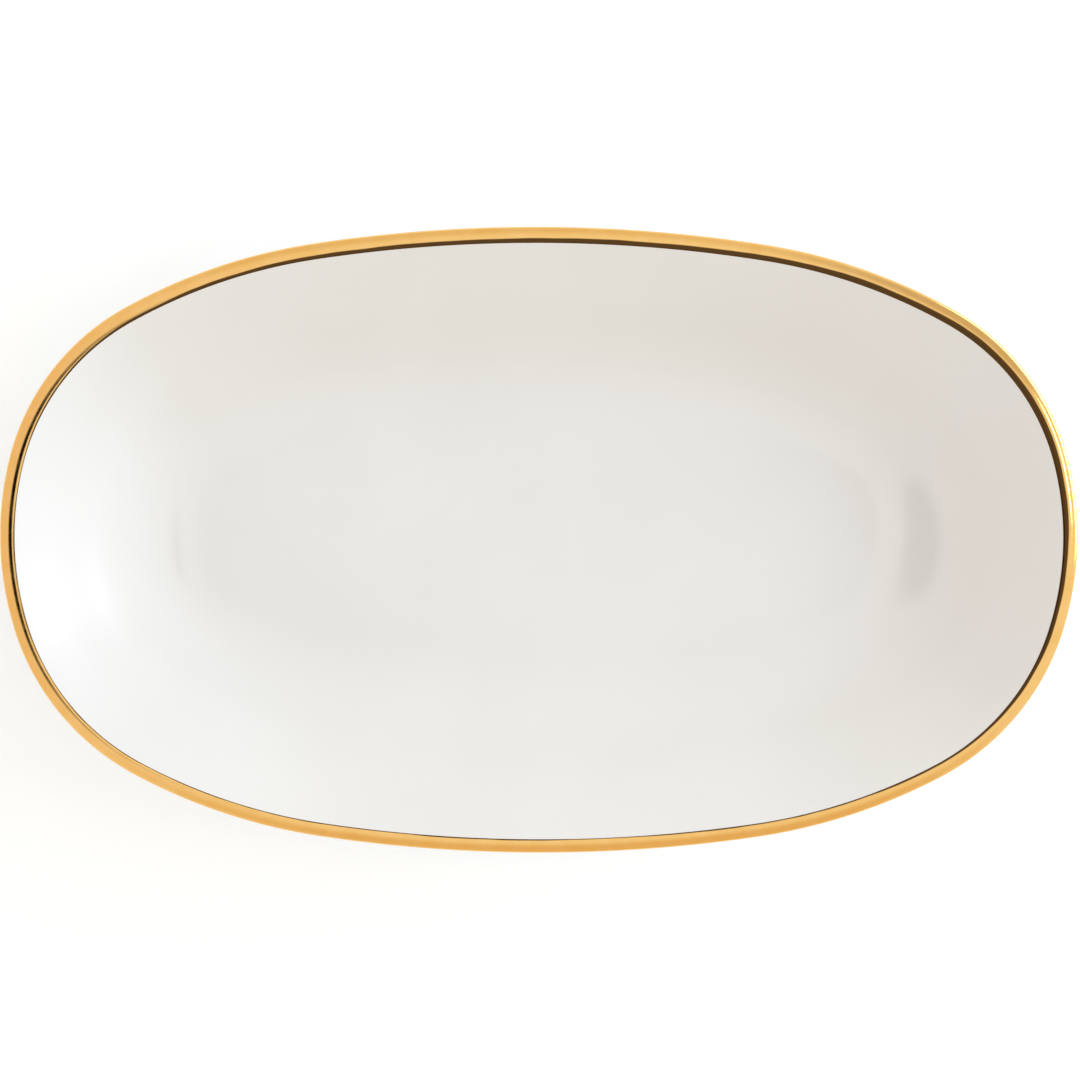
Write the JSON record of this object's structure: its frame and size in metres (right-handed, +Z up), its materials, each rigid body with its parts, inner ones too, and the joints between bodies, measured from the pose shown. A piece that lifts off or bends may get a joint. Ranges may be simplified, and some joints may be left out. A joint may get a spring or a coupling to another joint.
{
  "type": "oval serving platter",
  "caption": "Oval coupe serving platter in glazed white porcelain, with flaring walls, a gold band along the lip and a bare foot ring underneath.",
  "frame": {"origin": "centre of the platter's outline on its resting plane, under the foot ring's contact face", "axes": "+X along the platter's length, +Y across it, +Z up out of the well"},
  "size_m": [0.356, 0.21, 0.033],
  "materials": {
    "fired_porcelain": "unglazed, fine matt, bare only on the foot ring's contact face",
    "clear_glaze": "high-gloss glaze over warm white porcelain",
    "fired_gold": "polished fired gold"
  },
  "bodies": {
    "root": {"porcelain_body": "fired_porcelain", "face_glaze": "clear_glaze", "back_glaze": "clear_glaze", "foot_well_glaze": "clear_glaze", "gold_rim_band": "fired_gold"}
  },
  "joints": []
}
